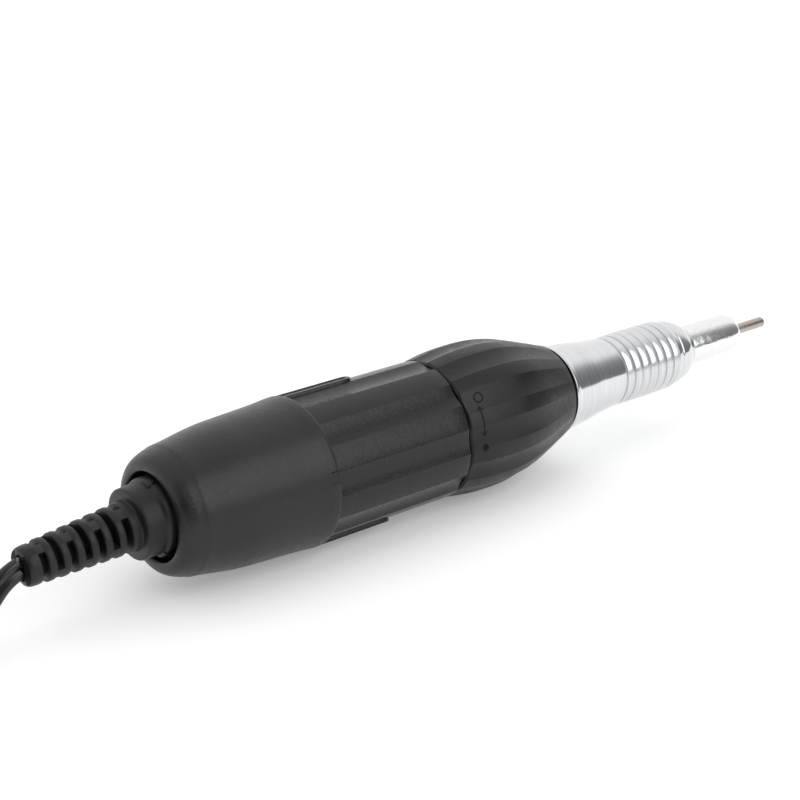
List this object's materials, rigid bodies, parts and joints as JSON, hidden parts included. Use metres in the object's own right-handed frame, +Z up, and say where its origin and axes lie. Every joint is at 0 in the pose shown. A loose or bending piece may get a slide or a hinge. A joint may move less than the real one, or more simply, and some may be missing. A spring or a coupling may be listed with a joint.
{
  "type": "electric nail drill",
  "caption": "Electric nail drill handpiece with a fluted black body, twist lock ring, turned aluminium nose, collet and burr shank, ribbed cord boot and a tied cord with a barrel plug.",
  "frame": {"origin": "on the surface under the middle of the handpiece, with the cord left out", "axes": "+X along the handpiece towards the burr, +Z up, +Y to the left seen from the cord end"},
  "size_m": [0.3436, 0.0328, 0.0298],
  "materials": {
    "cover_black": "satin",
    "housing_black": "fine grain",
    "ring_black": "satin grain",
    "boot_black": "matte",
    "cord_black": "satin",
    "tie_black": "satin",
    "seal_rubber": "matte",
    "nose_silver": "turned",
    "cap_silver": "polished",
    "shank_steel": "ground",
    "bright_steel": "ground",
    "spring_steel": "drawn",
    "zinc_steel": "zinc plated",
    "core_steel": "laminated",
    "sleeve_brass": "turned",
    "housing_aluminium": "turned",
    "winding_copper": "enamelled",
    "ferrite": "matte",
    "brush_carbon": "matte",
    "bell_nylon": "satin",
    "wire_red": "gloss",
    "plug_nickel": "polished",
    "plug_insulation": "gloss"
  },
  "bodies": {
    "handpiece": {"rear_cover": "cover_black", "motor_housing": "housing_black", "strain_relief_boot": "boot_black", "boot_retainer": "zinc_steel", "cord_core": "cord_black", "lead_wires": "wire_red", "cover_seal": "seal_rubber", "end_bell": "bell_nylon", "brush_tubes": "sleeve_brass", "brush_caps": "sleeve_brass", "carbon_brushes": "brush_carbon", "brush_springs": "spring_steel", "motor_can": "zinc_steel", "magnets": "ferrite", "motor_front_plate": "zinc_steel", "motor_outer_races": "bright_steel", "spindle_outer_races": "bright_steel", "spindle_housing": "housing_aluminium", "nose_cone": "nose_silver", "front_cap": "cap_silver", "front_seal": "seal_rubber", "bearing_nut": "bright_steel", "bearing_spacer": "bright_steel", "cord_lead": "cord_black", "cord_hank": "cord_black", "cord_tie": "tie_black", "plug_body": "cord_black", "plug_barrel": "plug_nickel", "plug_insulator": "plug_insulation"},
    "twist_ring": {"twist_ring": "ring_black", "cam_pins": "bright_steel", "detent_balls": "bright_steel", "detent_springs": "spring_steel"},
    "release_slider": {"cam_sleeve": "sleeve_brass", "release_pins": "bright_steel", "pusher_ring": "sleeve_brass"},
    "spindle": {"armature_core": "core_steel", "windings": "winding_copper", "front_windings": "winding_copper", "commutator": "winding_copper", "motor_shaft": "bright_steel", "drive_fork": "bright_steel", "motor_inner_races": "bright_steel", "spindle_inner_races": "bright_steel", "spindle": "bright_steel", "spring_stop": "bright_steel", "collet_spring": "spring_steel"},
    "ball_sets": {"motor_balls": "bright_steel", "spindle_balls": "bright_steel"},
    "collet": {"collet": "bright_steel", "drawbar": "bright_steel", "cross_pin": "bright_steel", "cross_pin_carrier": "bright_steel"},
    "burr": {"burr_shank": "shank_steel"}
  },
  "joints": [
    {"name": "spindle_turn", "type": "hinge", "parent": "handpiece", "child": "spindle", "pos_m": [0, 0, 0.0149], "axis": [1, 0, 0], "continuous": true},
    {"name": "ball_turn", "type": "hinge", "parent": "handpiece", "child": "ball_sets", "pos_m": [0, 0, 0.0149], "axis": [1, 0, 0], "continuous": true},
    {"name": "ring_twist", "type": "hinge", "parent": "handpiece", "child": "twist_ring", "pos_m": [0, 0, 0.0149], "axis": [1, 0, 0], "range_deg": [0, 45]},
    {"name": "sleeve_slide", "type": "slide", "parent": "handpiece", "child": "release_slider", "axis": [1, 0, 0], "range_m": [0, 0.0016]},
    {"name": "collet_slide", "type": "slide", "parent": "spindle", "child": "collet", "axis": [1, 0, 0], "range_m": [0, 0.0016], "deforming": ["collet_spring"]},
    {"name": "burr_slide", "type": "slide", "parent": "collet", "child": "burr", "axis": [1, 0, 0], "range_m": [0, 0.03]}
  ],
  "couplings": [
    {"joint": "ball_turn", "follows": "spindle_turn", "ratio": 0.41},
    {"joint": "sleeve_slide", "follows": "ring_twist", "m_per_rad": 0.00203},
    {"joint": "collet_slide", "follows": "ring_twist", "m_per_rad": 0.00203}
  ]
}
